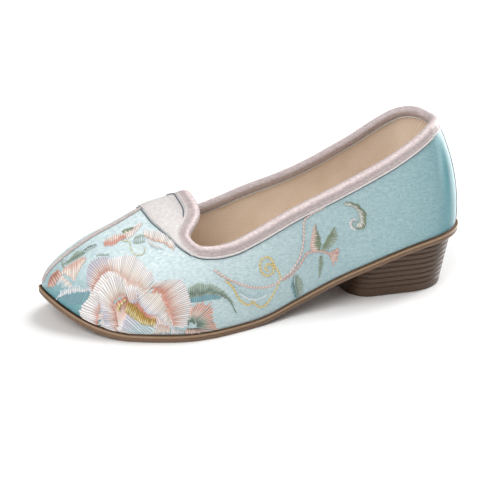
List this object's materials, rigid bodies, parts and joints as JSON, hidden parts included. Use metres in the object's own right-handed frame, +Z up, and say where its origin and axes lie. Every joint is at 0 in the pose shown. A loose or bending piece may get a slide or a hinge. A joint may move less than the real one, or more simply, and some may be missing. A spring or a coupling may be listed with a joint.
{
  "type": "embroidered cloth shoe",
  "caption": "Lady's embroidered satin pump, left shoe, with a bound collar, a white vamp tab and a low stacked-look heel.",
  "frame": {"origin": "middle of the bounding box's bottom face, on the floor under the sole", "axes": "+X from heel to toe, +Y to the wearer's left, +Z up"},
  "size_m": [0.2338, 0.0824, 0.0951],
  "materials": {
    "outsole": "matt two-tone moulded rim",
    "heel": "matt, grooved in layers",
    "insole": "woven",
    "upper": "satin",
    "collar_binding": "satin",
    "vamp_tab": "satin",
    "vamp_piping": "satin",
    "back_strip": "satin",
    "embroidery": "silk floss in satin stitch",
    "lining": "woven",
    "sole_lip": "matt"
  },
  "bodies": {
    "root": {"outsole": "outsole", "heel": "heel", "insole": "insole", "upper": "upper", "collar_binding": "collar_binding", "vamp_tab": "vamp_tab", "vamp_piping": "vamp_piping", "back_strip": "back_strip"}
  },
  "joints": []
}
